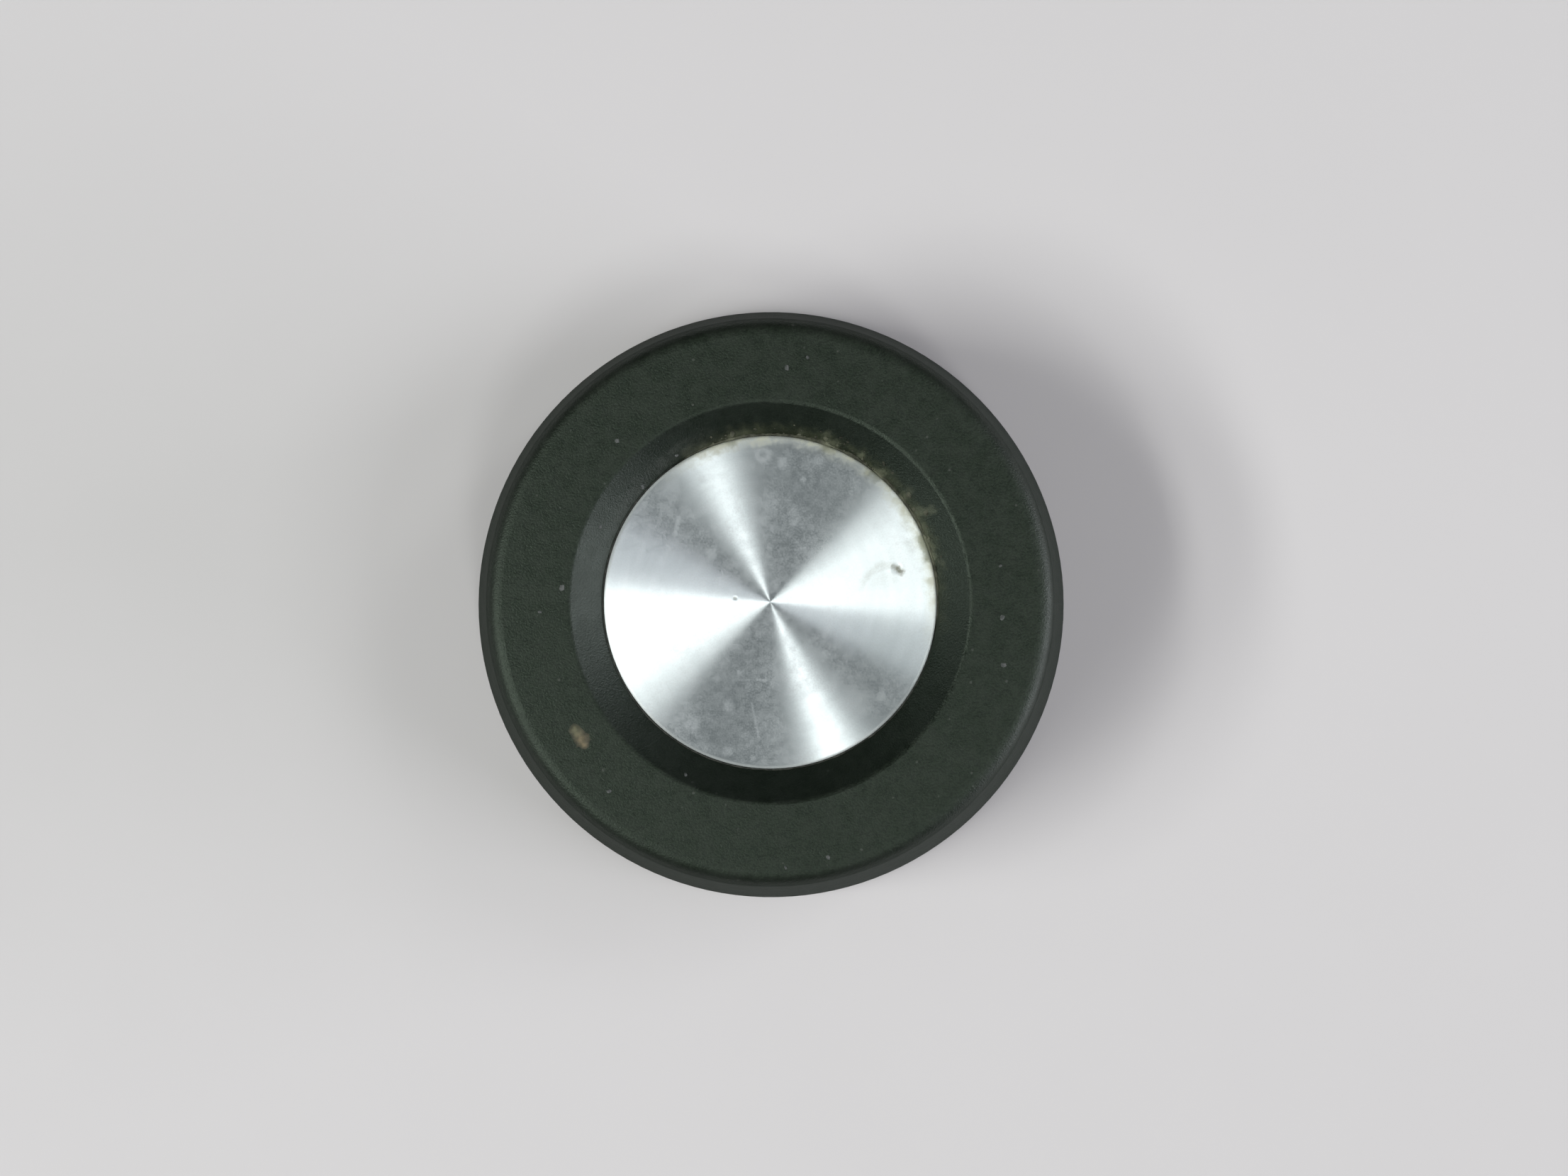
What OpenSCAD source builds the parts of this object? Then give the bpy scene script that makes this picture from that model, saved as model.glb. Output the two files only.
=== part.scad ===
// Push-on timer knob: a moulded body with a spun metal disc set in its face,
// and a split hub that a spring ring closes on a flatted shaft.
// The origin is at the middle of the rim that the knob stands on, with +Z out of the face.

/* [Body] */
// Height from the rim to the face
body_height = 19; // [17:0.5:26]
// Diameter over the rounded rim
base_diameter = 52.4; // [48:0.2:60]
// Draft of the side wall, in degrees from upright
side_draft = 10; // [5:0.5:13]
// Thickness of the side wall and the face
wall = 2.2; // [1.6:0.1:2.8]
// Rounding between the side wall and the face
top_edge_radius = 1.5; // [0.5:0.1:2.5]
// Rounding on the outside of the rim
rim_edge_radius = 0.4; // [0.2:0.1:0.8]
// Rounding in the inside corners of the hollow
inner_radius = 0.8; // [0.3:0.1:1.2]

/* [Dish] */
// Width of the flat face, from the line of the side wall to the dish
face_width = 6.7; // [4.5:0.1:9]
// Width of the sloping wall of the dish, seen from above
dish_wall_width = 2.5; // [1.5:0.1:4]
// Depth of the sloping wall of the dish
dish_depth = 2.2; // [1.4:0.1:3]
// Rounding on the edge between the face and the dish
dish_edge_radius = 0.5; // [0.2:0.1:1]

/* [Face disc] */
// Thickness of the metal disc
disc_thickness = 0.6; // [0.5:0.05:1]
// How far the disc stands above its seat
disc_proud = 0.15; // [0.05:0.05:0.3]
// Rounding on the upper edge of the disc
disc_edge_radius = 0.25; // [0.1:0.05:0.4]
// Room around the disc in its seat
disc_clearance = 0.1; // [0.05:0.05:0.3]

/* [Hub] */
// Diameter of the hub
hub_diameter = 13; // [12:0.2:16]
// How far the hub's end lies above the rim
hub_recess = 1.5; // [0.5:0.1:3]
// Diameter of the shaft that the knob fits
shaft_diameter = 6.35; // [5:0.05:6.5]
// Depth of the flat on the shaft
shaft_flat_depth = 0.81; // [0.5:0.01:1.6]
// Room around the shaft where the split jaws hold it
grip_clearance = 0.025; // [0:0.005:0.05]
// Room around the shaft in the flatted socket
socket_clearance = 0.275; // [0.2:0.025:0.4]
// Room between the shaft's flat and the socket's flat
flat_clearance = 0.03; // [0.01:0.01:0.1]
// Length of shaft that the jaws hold
grip_length = 4.6; // [4:0.2:6]
// Thickness left between the end of the bore and the disc's seat
bore_floor = 3.75; // [2:0.25:5]
// Lead-in at the mouth of the bore
bore_chamfer = 0.5; // [0.2:0.1:0.8]
// Width of the two slots between the jaws
slot_width = 1.2; // [0.8:0.1:2]
// How far the slots run on past the jaws' grip
slot_overrun = 1; // [0.4:0.2:2]
// Rounding on the hub's outer end
hub_edge_radius = 0.4; // [0.2:0.1:0.6]

/* [Ribs] */
// Number of ribs between the hub and the side wall
rib_count = 4; // [3:1:8]
// Thickness of a rib
rib_thickness = 1.6; // [1:0.1:2.4]
// Height of the ribs' lower edges above the rim
rib_recess = 8; // [4:0.5:12]

/* [Spring ring] */
// Thickness of the ring's strip
ring_thickness = 0.6; // [0.4:0.05:0.8]
// Width of the ring's strip
ring_width = 3; // [2:0.1:3.2]
// Opening between the ring's ends, in degrees
ring_opening = 40; // [20:5:90]
// Depth of the groove that holds the ring
groove_depth = 0.5; // [0.3:0.05:0.7]
// Room between the ring and the bottom of its groove
ring_clearance = 0.03; // [0:0.01:0.1]
// Room between the ring and each side of its groove
ring_side_clearance = 0.1; // [0.05:0.05:0.2]
// Height of the groove above the hub's end
groove_setback = 0.9; // [0.7:0.1:1.2]
// Rounding on the edges of the ring's strip
ring_edge_radius = 0.12; // [0.05:0.01:0.18]

/* [Hidden] */
$fn = 128;

// How far a cut runs past the face that it opens
past = 1;

// Body and dish, with the side wall taken down to a sharp edge at the base
base_radius = base_diameter / 2 + rim_edge_radius * (tan(side_draft) + 1 / cos(side_draft) - 1);
wall_across = wall / cos(side_draft);
dish_radius = side_radius(body_height) - face_width;
seat_radius = dish_radius - dish_wall_width;
disc_radius = seat_radius - disc_clearance;
seat_top = body_height - dish_depth;
seat_floor = seat_top + disc_proud - disc_thickness;
dish_slope = atan2(dish_depth, dish_wall_width);
face_underside = body_height - wall;
dish_underside = seat_floor - wall;

// Hub, bore and ring
hub_radius = hub_diameter / 2;
grip_radius = shaft_diameter / 2 + grip_clearance;
socket_radius = shaft_diameter / 2 + socket_clearance;
flat_offset = shaft_diameter / 2 - shaft_flat_depth + flat_clearance;
grip_top = hub_recess + bore_chamfer + grip_length;
socket_length = seat_floor - bore_floor - grip_top;
groove_radius = hub_radius - groove_depth;
groove_bottom = hub_recess + groove_setback;
groove_width = ring_width + 2 * ring_side_clearance;
ring_radius = groove_radius + ring_clearance;
rib_angle = 45;
ring_opening_angle = -90;

// Radius of the outside of the side wall at a height
function side_radius(height) = base_radius - height * tan(side_draft);

// Radius of the inside of the side wall at a height
function inside_radius(height) = side_radius(height) - wall_across;

// Radius of the underside of the dish's sloping wall at a height
function dish_underside_radius(height) =
    seat_radius + (height - seat_top) / tan(dish_slope) + wall / sin(dish_slope);

function unit(v) = v / norm(v);
function spot(corner) = [corner[0], corner[1]];
function toward(from, to) = unit(spot(to) - spot(from));

// Half the angle inside a corner, between the runs to its two neighbours
function half_angle(before, corner, after) =
    acos(toward(corner, before) * toward(corner, after)) / 2;

// Centre of the arc that rounds a corner
function arc_centre(before, corner, after) =
    spot(corner) + unit(toward(corner, before) + toward(corner, after))
        * corner[2] / sin(half_angle(before, corner, after));

// The two points where the rounding of a corner starts and ends
function arc_ends(before, corner, after) =
    let (run = corner[2] / tan(half_angle(before, corner, after)))
    [spot(corner) + run * toward(corner, before), spot(corner) + run * toward(corner, after)];

// Positive where an anticlockwise outline bulges outwards at a corner
function bulge(before, corner, after) =
    cross(spot(corner) - spot(before), spot(after) - spot(corner));

// Closed outline with its corners given anticlockwise, each as [x, y, rounding radius]
module rounded_outline(corners) {
    count = len(corners);
    trios = [for (i = [0:count - 1])
        [corners[(i + count - 1) % count], corners[i], corners[(i + 1) % count]]];
    rounded = [for (t = trios) if (t[1][2] > 0) t];
    difference() {
        union() {
            polygon([for (t = trios) each t[1][2] > 0 ? arc_ends(t[0], t[1], t[2]) : [spot(t[1])]]);
            for (t = rounded)
                if (bulge(t[0], t[1], t[2]) > 0)
                    translate(arc_centre(t[0], t[1], t[2])) circle(r = t[1][2]);
        }
        for (t = rounded)
            if (bulge(t[0], t[1], t[2]) < 0)
                translate(arc_centre(t[0], t[1], t[2])) circle(r = t[1][2]);
    }
}

// The body's outside, with the dish and the disc's seat in its face
module outer_form() {
    rotate_extrude()
        rounded_outline([
            [0, 0, 0],
            [base_radius, 0, rim_edge_radius],
            [side_radius(body_height), body_height, top_edge_radius],
            [dish_radius, body_height, dish_edge_radius],
            [seat_radius, seat_top, 0],
            [seat_radius, seat_floor, 0],
            [0, seat_floor, 0]
        ]);
}

// The hollow around the hub, open below
module hollow() {
    rotate_extrude()
        rounded_outline([
            [0, -past, 0],
            [inside_radius(-past), -past, 0],
            [inside_radius(face_underside), face_underside, inner_radius],
            [dish_underside_radius(face_underside), face_underside, inner_radius],
            [dish_underside_radius(dish_underside), dish_underside, inner_radius],
            [hub_radius, dish_underside, inner_radius],
            [hub_radius, hub_recess, hub_edge_radius],
            [0, hub_recess, 0]
        ]);
}

module ribs() {
    for (i = [0:rib_count - 1])
        rotate(rib_angle + i * 360 / rib_count)
            translate([0, -rib_thickness / 2, rib_recess])
                cube([base_radius, rib_thickness, body_height - rib_recess]);
}

// Bore with a lead-in, a round grip between the jaws and a flatted socket behind them
module shaft_bore() {
    translate([0, 0, hub_recess - past])
        cylinder(r = grip_radius, h = past + bore_chamfer + grip_length);
    translate([0, 0, hub_recess])
        cylinder(r1 = grip_radius + bore_chamfer, r2 = grip_radius, h = bore_chamfer);
    translate([0, 0, grip_top])
        difference() {
            cylinder(r = socket_radius, h = socket_length);
            translate([-socket_radius, flat_offset, -past])
                cube([2 * socket_radius, socket_radius, socket_length + 2 * past]);
        }
}

module jaw_slots() {
    translate([-hub_radius - past, -slot_width / 2, hub_recess - past])
        cube([2 * (hub_radius + past), slot_width, past + bore_chamfer + grip_length + slot_overrun]);
}

module ring_groove() {
    translate([0, 0, groove_bottom])
        difference() {
            cylinder(r = hub_radius + past, h = groove_width);
            translate([0, 0, -past]) cylinder(r = groove_radius, h = groove_width + 2 * past);
        }
}

module knob_body() {
    color([0.17, 0.2, 0.18])
        difference() {
            outer_form();
            difference() {
                hollow();
                ribs();
            }
            shaft_bore();
            jaw_slots();
            ring_groove();
        }
}

module face_disc() {
    color([0.76, 0.79, 0.79])
        translate([0, 0, seat_floor])
            rotate_extrude()
                rounded_outline([
                    [0, 0, 0],
                    [disc_radius, 0, 0],
                    [disc_radius, disc_thickness, disc_edge_radius],
                    [0, disc_thickness, 0]
                ]);
}

module spring_ring() {
    color([0.55, 0.55, 0.54])
        translate([0, 0, groove_bottom + ring_side_clearance])
            rotate(ring_opening_angle + ring_opening / 2)
                rotate_extrude(angle = 360 - ring_opening)
                    rounded_outline([
                        [ring_radius, 0, ring_edge_radius],
                        [ring_radius + ring_thickness, 0, ring_edge_radius],
                        [ring_radius + ring_thickness, ring_width, ring_edge_radius],
                        [ring_radius, ring_width, ring_edge_radius]
                    ]);
}

knob_body();
face_disc();
spring_ring();
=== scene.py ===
"""Timer knob: a worn plastic knob with a spun metal disc in its face."""

import math
import random

import bmesh
import bpy
from bpy.props import FloatProperty, FloatVectorProperty, IntProperty, PointerProperty
from mathutils import Matrix, Vector, noise


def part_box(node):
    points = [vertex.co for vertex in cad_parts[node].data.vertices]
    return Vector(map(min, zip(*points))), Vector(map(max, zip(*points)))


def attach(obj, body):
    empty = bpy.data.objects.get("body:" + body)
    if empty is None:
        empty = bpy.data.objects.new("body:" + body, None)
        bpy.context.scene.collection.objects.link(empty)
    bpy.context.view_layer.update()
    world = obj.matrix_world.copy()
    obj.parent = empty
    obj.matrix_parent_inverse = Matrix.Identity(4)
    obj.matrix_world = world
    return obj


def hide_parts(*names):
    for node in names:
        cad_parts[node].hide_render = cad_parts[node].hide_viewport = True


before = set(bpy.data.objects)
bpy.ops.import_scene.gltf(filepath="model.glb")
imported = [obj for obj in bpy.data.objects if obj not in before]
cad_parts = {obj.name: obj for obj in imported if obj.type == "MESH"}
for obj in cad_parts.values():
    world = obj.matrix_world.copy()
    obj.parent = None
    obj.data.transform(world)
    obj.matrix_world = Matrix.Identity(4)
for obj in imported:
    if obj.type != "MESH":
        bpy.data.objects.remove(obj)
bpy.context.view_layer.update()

bl_info = {
    "name": "Timer Knob",
    "version": (1, 0, 0),
    "blender": (4, 5, 0),
    "location": "View3D > Sidebar > Timer Knob",
    "description": "Finishes the knob's plastic, disc, spring ring and grime, and sets its stage",
    "category": "Object",
}

MM = 0.001
BODY = "root"
ORIGIN = (0.0, 0.0, 0.0)
UP = Vector((0.0, 0.0, 1.0))
NORTH = Vector((0.0, 1.0, 0.0))
# Vector operations that give a plain number
NUMBER_RESULTS = ("LENGTH", "DOT_PRODUCT", "DISTANCE")

# The disc and the dish around it
DISC_LOW, DISC_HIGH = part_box("face_disc")
DISC_RADIUS = DISC_HIGH.x
DISC_TOP = DISC_HIGH.z
DISC_EDGE_RADIUS = 0.25 * MM
DISC_EDGE_STEPS = 6
DISC_CLEARANCE = 0.1 * MM
DISC_PROUD = 0.15 * MM
DISH_WALL_WIDTH = 2.5 * MM
FACE_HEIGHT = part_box("knob_body")[1].z
SEAT_RADIUS = DISC_RADIUS + DISC_CLEARANCE
SEAT_TOP = DISC_TOP - DISC_PROUD
DISH_RADIUS = SEAT_RADIUS + DISH_WALL_WIDTH
DISH_RISE = (FACE_HEIGHT - SEAT_TOP) / (DISH_RADIUS - SEAT_RADIUS)

# Places below are in millimetres from the axis, and so are radii and widths

# Marks pressed into the disc: place, radius and depth
DENT = ((10.34, 2.72), 0.42, 0.06)
PIT = ((-2.87, 0.32), 0.2, 0.012)
# How steeply a mark's wall falls, and the lip around it: share of the depth, place and steepness
MARK_FALL = 2.2
LIP_SHARE = 0.16
LIP_PLACE = 1.25
LIP_FALL = 9.0
# Dark strokes in the marks, and paler scuffs beside them and near the edge:
# two ends, half width and strength
DENT_STROKES = (
    ((10.05, 2.90), (10.40, 2.76), 0.42, 0.7),
    ((10.40, 2.76), (10.72, 2.42), 0.46, 1.0),
    ((-2.92, 0.33), (-2.82, 0.31), 0.2, 0.8),
)
SCUFF_STROKES = (
    ((10.10, 2.95), (9.25, 3.00), 0.5, 0.27),
    ((9.25, 3.00), (8.40, 2.55), 0.55, 0.3),
    ((8.40, 2.55), (7.62, 1.65), 0.5, 0.27),
    ((7.62, 1.65), (7.45, 1.10), 0.4, 0.18),
    ((8.60, 1.60), (9.80, 1.95), 0.9, 0.12),
    ((10.95, 6.35), (11.15, 6.05), 0.6, 0.26),
    ((11.30, 4.80), (11.55, 4.30), 0.55, 0.22),
    ((12.35, 5.35), (12.55, 4.95), 0.45, 0.28),
    ((12.75, 4.10), (12.95, 3.50), 0.45, 0.32),
    ((13.25, 3.05), (13.35, 2.70), 0.35, 0.5),
)
# Dull spots on the disc: a factor for the radii, then place, radius and strength
SPOT_SPREAD = 1.15
HAZE_SPOTS = (
    ((1.03, 11.35), 0.65, 1.0),
    ((3.84, 11.55), 0.75, 0.5),
    ((2.70, 10.00), 0.32, 0.9),
    ((0.00, 7.57), 0.95, 0.6),
    ((1.85, 6.50), 0.42, 0.8),
    ((2.69, 4.50), 0.36, 0.7),
    ((-0.24, 3.74), 0.5, 0.5),
    ((-4.83, 4.00), 0.62, 1.0),
    ((-8.30, 9.20), 1.1, 0.5),
    ((-2.50, -5.80), 0.32, 0.8),
    ((-3.40, -8.50), 0.6, 0.8),
    ((-6.40, -9.80), 0.95, 0.7),
    ((-3.40, -12.10), 0.6, 0.8),
    ((7.15, -8.10), 1.5, 0.75),
    ((9.07, -7.74), 0.5, 0.8),
    ((4.10, -4.40), 0.75, 0.6),
)
# Dull streaks and a scratch on the disc: two ends, half width and strength
HAZE_STREAKS = (
    ((-7.50, 6.90), (-7.75, 5.50), 0.3, 0.6),
    ((-1.05, -6.35), (-0.40, -6.42), 0.2, 0.8),
)
SCRATCH = ((-1.52, -8.25), (-0.93, -11.10), 0.17, 0.6)
# Dull ring on the disc, such as a drop leaves: place, inner and outer radius, and strength
HAZE_RING = ((-0.57, 12.00), 0.525, 0.91, 1.4)
# Dull margin at the disc's edge: radii between which it sets in, and strength
MARGIN = (13.25, 13.55, 0.5)

# Ragged bands round the axis: inner and outer radius, heading of the strongest part in degrees,
# cosine of the angle from there at which the band ends, and raggedness
FOOT_BAND = (12.7, 14.9, 56.0, 0.25, 0.7)
VEIL_BAND = (13.4, 15.2, 134.0, 0.8, 1.2)
STAIN_BAND = (12.35, 14.6, 60.0, 0.15, 0.5)
# Dry crust on the dish's wall and over the disc's edge: heading in degrees and radius
# of its two ends, half width and strength
CRUST_TUFTS = (
    ((120.0, 13.95), (99.0, 13.95), 0.55, 0.14),
    ((104.0, 13.45), (103.5, 13.70), 0.70, 0.50),
    ((80.0, 14.05), (80.0, 14.15), 0.40, 0.25),
    ((71.5, 13.80), (71.0, 14.40), 0.55, 0.25),
    ((70.0, 13.45), (68.5, 13.65), 0.85, 0.65),
    ((58.0, 14.00), (58.0, 14.10), 0.45, 0.38),
    ((51.5, 13.45), (49.5, 13.60), 0.80, 0.65),
    ((38.0, 13.80), (38.5, 14.50), 0.50, 0.22),
    ((32.0, 13.70), (29.5, 15.10), 0.60, 0.26),
    ((33.0, 13.85), (24.0, 13.85), 0.50, 0.24),
    ((22.0, 13.45), (15.5, 13.50), 0.80, 0.75),
    ((14.0, 13.70), (13.0, 14.30), 0.50, 0.16),
)

# Beads of dirt in the gap round the disc: size, least size, how far they lie inside and below
# the seat's upper edge, and how far in degrees one runs on under the other
GRIME_BEAD_SIZE = 0.13
GAP_BEAD_SIZE = 0.06
BEAD_LEAST = 0.01
BEAD_INSET = 0.05
BEAD_SUNK = 0.02
BEAD_OVERLAP = 16.0
BEAD_SEGMENTS = 420
BEAD_SIDES = 10
# Crumbs on the dish's wall: places of the larger ones, smallest and largest radius, height
# as a share of the radius, where the smaller ones lie: clear angles at the bead's ends, heading
# of most of them, distances from the seat and how they crowd towards it, and the share of the
# height that a crumb or speck goes below the surface
CRUMB_PLACES = (
    (4.55, 13.35),
    (2.35, 13.70),
    (7.57, 11.70),
    (11.30, 8.70),
    (11.75, 7.56),
    (12.70, 7.27),
    (12.95, 5.10),
    (-3.10, 13.75),
)
LARGE_CRUMB = (0.18, 0.30)
LARGE_CRUMB_HEIGHT = 0.45
SMALL_CRUMB = (0.04, 0.15)
SMALL_CRUMB_HEIGHT = (0.4, 0.8)
CRUMB_CLEAR_START = 8.0
CRUMB_CLEAR_END = 6.0
CRUMB_HEADING = 45.0
CRUMB_NEAREST = 0.04
CRUMB_REACH = 0.9
CRUMB_CROWDING = 2.2
CRUMB_SUNK = 0.25
# Dust specks on the face and the dish's wall: places, smallest and largest radius, and height
DUST_PLACES = (
    (-18.62, -0.83),
    (-16.84, 1.12),
    (1.23, -21.43),
    (4.68, -20.63),
    (18.62, 2.90),
    (18.76, -1.29),
    (18.85, -5.13),
    (1.35, 18.93),
    (3.01, 19.77),
    (-13.80, 6.10),
    (-10.45, 9.40),
    (-7.65, 11.95),
    (-12.40, 13.00),
    (-13.00, -15.30),
    (-6.85, -14.00),
)
DUST_SPECK = (0.14, 0.24)
DUST_HEIGHT = 0.05
# Dab of dried matter on the face: its place, and each lobe's place beside that and radius
RESIDUE_PLACE = (-15.40, -10.80)
RESIDUE_LOBES = (
    ((-0.36, 0.44), 0.42),
    ((-0.10, 0.10), 0.48),
    ((0.20, -0.28), 0.56),
    ((0.40, -0.72), 0.34),
)
RESIDUE_HEADING = -55.0
RESIDUE_HEIGHT = 0.07
RESIDUE_SUNK = 0.01
RESIDUE_SEGMENTS = 56
RESIDUE_RINGS = 9
# Least and most reach of the dab's outline, its step and the cover where the outline lies
RESIDUE_REACH = (0.15, 1.6)
RESIDUE_STEP = 0.02
RESIDUE_COVER = 0.12

# Share of colour that dust specks, a veil of dust and the dab's stain add to the plastic
SPECK_SHARE = 0.10
VEIL_SHARE = 0.16
RESIDUE_STAIN_SHARE = 0.35

# Lamps: heading, lean from upright, half the sweep round the knob and half the rise, in degrees,
# then the light that the lamp adds on a level face, and its colour
LAMP_DISTANCE = 1.4
LAMPS = {
    "key_high": (192.0, 38.0, 18.0, 3.0, 0.27, (1.0, 0.99, 0.97)),
    "key_low": (192.0, 50.0, 18.0, 3.0, 0.25, (1.0, 0.99, 0.97)),
    "side_lamp": (217.0, 44.0, 7.0, 8.0, 0.085, (1.0, 0.99, 0.97)),
    "fill_lamp": (36.0, 44.0, 7.5, 8.0, 0.055, (1.0, 0.99, 0.98)),
    "strip_lamp": (293.5, 27.0, 6.0, 6.0, 0.125, (1.0, 0.99, 0.98)),
    "wash_lamp": (348.0, 44.0, 14.5, 9.0, 0.125, (0.98, 0.99, 1.0)),
    "card_lamp": (-7.0, 80.0, 26.0, 7.0, 0.175, (0.95, 0.88, 1.0)),
}
# The sky's colour, and the heights between which it brightens
SKY_COLOUR = (0.96, 0.985, 1.0)
SKY_HEIGHTS = (0.3, 0.92)
# Half the floor's width in metres, the camera's sensor in millimetres and its range in metres
FLOOR_HALF_WIDTH = 12.0
SENSOR_WIDTH = 36.0
CLIP_RANGE = (0.005, 100.0)


def dish_height(radius):
    """Height of the dish's wall, or of the face outside it, at a distance from the axis."""
    return min(FACE_HEIGHT, SEAT_TOP + max(0.0, radius - SEAT_RADIUS) * DISH_RISE)


def turned(radius, heading):
    """Point at a distance from the axis, in a direction given in degrees."""
    angle = math.radians(heading)
    return Vector((radius * math.cos(angle), radius * math.sin(angle), 0.0))


def smooth(low, high, value):
    """0 below low, 1 above high, and an even curve between them."""
    share = min(1.0, max(0.0, (value - low) / (high - low)))
    return share * share * (3.0 - 2.0 * share)


def opaque(colour):
    """A colour with full cover added; a wired colour stays as it is."""
    return colour if isinstance(colour, bpy.types.NodeSocket) else (*colour, 1.0)


class Wiring:
    """Adds nodes to one node tree, wires them and hands back their sockets."""

    def __init__(self, tree):
        self.tree = tree

    def feed(self, socket, value):
        if isinstance(value, bpy.types.NodeSocket):
            self.tree.links.new(value, socket)
        else:
            socket.default_value = value

    def fill(self, node, inputs):
        for name, value in inputs.items():
            self.feed(node.inputs[name], value)

    def put(self, kind, inputs=None, **settings):
        node = self.tree.nodes.new(kind)
        for name, value in settings.items():
            setattr(node, name, value)
        self.fill(node, inputs or {})
        return node

    def math(self, operation, *values, clamp=False):
        node = self.put("ShaderNodeMath", dict(enumerate(values)), operation=operation, use_clamp=clamp)
        return node.outputs[0]

    def product(self, total, *values):
        for value in values:
            total = self.math("MULTIPLY", total, value)
        return total

    def largest(self, most, *values):
        for value in values:
            most = self.math("MAXIMUM", most, value)
        return most

    def vector(self, operation, *values):
        node = self.put("ShaderNodeVectorMath", dict(enumerate(values)), operation=operation)
        return node.outputs["Value" if operation in NUMBER_RESULTS else "Vector"]

    def scaled(self, vector, scale):
        node = self.put("ShaderNodeVectorMath", {0: vector, "Scale": scale}, operation="SCALE")
        return node.outputs["Vector"]

    def flat(self, vector):
        """The vector with its height taken out."""
        return self.vector("MULTIPLY", vector, (1.0, 1.0, 0.0))

    def split(self, vector):
        return self.put("ShaderNodeSeparateXYZ", {0: vector}).outputs

    def joined(self, x, y, z):
        return self.put("ShaderNodeCombineXYZ", {0: x, 1: y, 2: z}).outputs[0]

    def mix(self, share, first, second):
        inputs = {0: share, 6: opaque(first), 7: opaque(second)}
        return self.put("ShaderNodeMix", inputs, data_type="RGBA").outputs[2]

    def ease(self, value, low, high, to_low=0.0, to_high=1.0):
        """Even curve from to_low at low to to_high at high."""
        inputs = {"Value": value, "From Min": low, "From Max": high, "To Min": to_low, "To Max": to_high}
        return self.put("ShaderNodeMapRange", inputs, interpolation_type="SMOOTHSTEP").outputs["Result"]

    def noise(self, place, scale, detail=2.0, roughness=0.5):
        inputs = {"Vector": place, "Scale": scale, "Detail": detail, "Roughness": roughness}
        return self.put("ShaderNodeTexNoise", inputs).outputs

    def group(self, name, **inputs):
        return self.put("ShaderNodeGroup", inputs, node_tree=effect(name)).outputs

    def place(self):
        """Place on the piece in its own frame, in millimetres."""
        return self.scaled(self.put("ShaderNodeTexCoord").outputs["Object"], 1.0 / MM)


def open_group(name, inputs, outputs):
    """New node group with float or vector inputs and float outputs: the group, its wiring and its ends."""
    tree = bpy.data.node_groups.new(name, "ShaderNodeTree")
    for label, default in inputs:
        kind = "NodeSocketVector" if isinstance(default, tuple) else "NodeSocketFloat"
        tree.interface.new_socket(label, in_out="INPUT", socket_type=kind).default_value = default
    for label in outputs:
        tree.interface.new_socket(label, in_out="OUTPUT", socket_type="NodeSocketFloat")
    wiring = Wiring(tree)
    entry = wiring.put("NodeGroupInput").outputs
    leave = wiring.put("NodeGroupOutput").inputs
    return tree, wiring, entry, leave


def make_grain_group():
    """Fine uneven grain: a height for bumps and a slower tone for colour."""
    inputs = [("Place", ORIGIN), ("Size", 0.25)]
    tree, wiring, entry, leave = open_group("Grain", inputs, ["Height", "Tone"])
    pitch = wiring.math("DIVIDE", 1.0, entry["Size"])
    slow_pitch = wiring.product(pitch, 0.27)
    fine = wiring.noise(entry["Place"], pitch, detail=3.0, roughness=0.6)["Fac"]
    slow = wiring.noise(entry["Place"], slow_pitch, detail=4.0, roughness=0.62)["Fac"]
    wiring.feed(leave["Height"], fine)
    wiring.feed(leave["Tone"], wiring.ease(slow, 0.32, 0.68))
    return tree


def make_dust_group():
    """Scattered dust: round specks in some of the cells of an uneven lattice."""
    inputs = [("Place", ORIGIN), ("Spacing", 1.0), ("Size", 0.12), ("Share", 0.3)]
    tree, wiring, entry, leave = open_group("Dust", inputs, ["Mask"])
    pitch = wiring.math("DIVIDE", 1.0, entry["Spacing"])
    cells = wiring.put("ShaderNodeTexVoronoi", {"Vector": entry["Place"], "Scale": pitch}, feature="F1")
    away = wiring.product(cells.outputs["Distance"], entry["Spacing"])
    draw = wiring.split(cells.outputs["Color"])
    across = wiring.product(entry["Size"], wiring.math("ADD", 0.4, draw["Y"]))
    speck = wiring.math("SUBTRACT", 1.0, wiring.math("DIVIDE", away, across), clamp=True)
    chosen = wiring.math("LESS_THAN", draw["X"], entry["Share"])
    wiring.feed(leave["Mask"], wiring.product(wiring.ease(speck, 0.0, 0.55), chosen))
    return tree


def make_smear_group():
    """One soft smear with a ragged outline, from one place to another."""
    inputs = [
        ("Place", ORIGIN),
        ("Start", ORIGIN),
        ("End", ORIGIN),
        ("Radius", 1.0),
        ("Ragged", 0.5),
    ]
    tree, wiring, entry, leave = open_group("Smear", inputs, ["Mask"])
    pitch = wiring.math("DIVIDE", 1.3, entry["Radius"])
    wobble = wiring.noise(entry["Place"], pitch, detail=3.0, roughness=0.6)["Color"]
    shift = wiring.scaled(wiring.vector("SUBTRACT", wobble, (0.5, 0.5, 0.5)), entry["Ragged"])
    reach = wiring.scaled(shift, wiring.product(entry["Radius"], 2.0))
    moved = wiring.flat(wiring.vector("ADD", entry["Place"], reach))
    run = wiring.vector("SUBTRACT", entry["End"], entry["Start"])
    offset = wiring.vector("SUBTRACT", moved, entry["Start"])
    run_square = wiring.vector("DOT_PRODUCT", run, run)
    share = wiring.math("DIVIDE", wiring.vector("DOT_PRODUCT", offset, run), run_square, clamp=True)
    away = wiring.vector("DISTANCE", offset, wiring.scaled(run, share))
    wiring.feed(leave["Mask"], wiring.ease(wiring.math("DIVIDE", away, entry["Radius"]), 1.0, 0.1))
    return tree


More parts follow.
